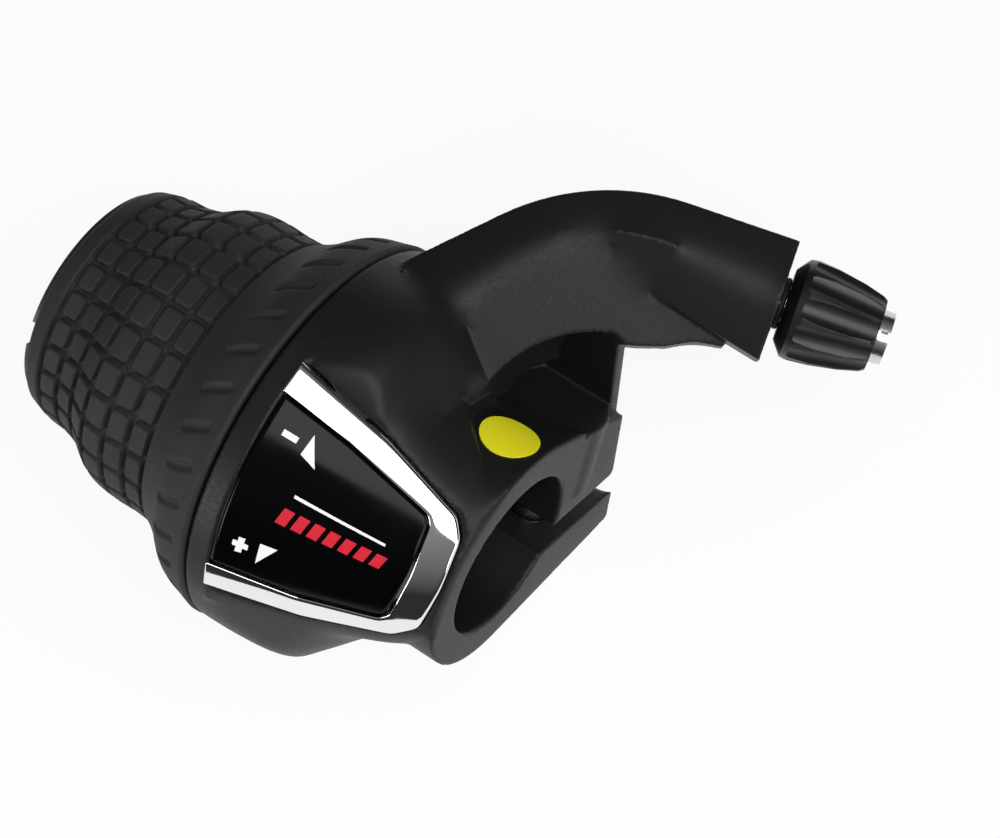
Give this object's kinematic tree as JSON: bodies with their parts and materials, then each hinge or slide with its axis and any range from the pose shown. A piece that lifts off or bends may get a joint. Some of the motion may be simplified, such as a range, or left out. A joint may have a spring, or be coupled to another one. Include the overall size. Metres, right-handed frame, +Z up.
{
  "type": "twist grip shifter",
  "caption": "Left-hand bicycle twist grip shifter: a rubber grip on a turning tube winds a cable drum in a clamped housing with an indicator panel, an angled cable arm and a barrel adjuster.",
  "frame": {"origin": "centre of the handlebar bore on the clamp's inboard end face", "axes": "+X along the bar toward the middle of the handlebar, +Y forward, +Z up"},
  "size_m": [0.0903, 0.078, 0.0543],
  "materials": {
    "housing_plastic": "moulded satin black",
    "chrome_plating": "mirror plated plastic trim",
    "lens_plastic": "polished black",
    "zinc_steel": "zinc plated",
    "spring_steel": "rolled",
    "lining_fibre": "pressed friction fibre",
    "drum_plastic": "moulded acetal",
    "grip_rubber": "matte moulded",
    "guide_liner": "slippery liner tube",
    "insert_brass": "turned",
    "barrel_aluminium": "turned bright",
    "knob_plastic": "moulded satin",
    "seal_rubber": "matte",
    "label_vinyl": "printed vinyl"
  },
  "bodies": {
    "body": {"housing": "housing_plastic", "indicator_bezel": "chrome_plating", "indicator_lens": "lens_plastic", "clamp_bolt": "zinc_steel", "clamp_washer": "zinc_steel", "clamp_nut": "zinc_steel", "disc_spring": "spring_steel", "friction_plate": "spring_steel", "friction_lining": "lining_fibre", "thrust_washer": "spring_steel", "retaining_ring": "spring_steel", "cable_guide": "guide_liner", "adjuster_insert": "insert_brass", "round_label": "label_vinyl"},
    "grip": {"rubber_grip": "grip_rubber", "grip_tube": "drum_plastic", "cable_drum": "drum_plastic"},
    "adjuster_carrier": {"adjuster_oring": "seal_rubber"},
    "adjuster_screw": {"adjuster_knob": "knob_plastic", "adjuster_bolt": "barrel_aluminium"}
  },
  "joints": [
    {"name": "grip_twist", "type": "hinge", "parent": "body", "child": "grip", "pos_m": [-0.045, 0, 0], "axis": [1, 0, 0], "range_deg": [0, 85]},
    {"name": "adjuster_travel", "type": "slide", "parent": "body", "child": "adjuster_carrier", "axis": [0.9399, 0.2298, -0.2524], "range_m": [0, 0.004]},
    {"name": "adjuster_turn", "type": "hinge", "parent": "adjuster_carrier", "child": "adjuster_screw", "pos_m": [0.01146, 0.04353, -0.00051], "axis": [0.9399, 0.2298, -0.2524], "range_deg": [0, 1800]}
  ],
  "couplings": [
    {"joint": "adjuster_turn", "follows": "adjuster_travel", "rad_per_m": 7853.9}
  ]
}
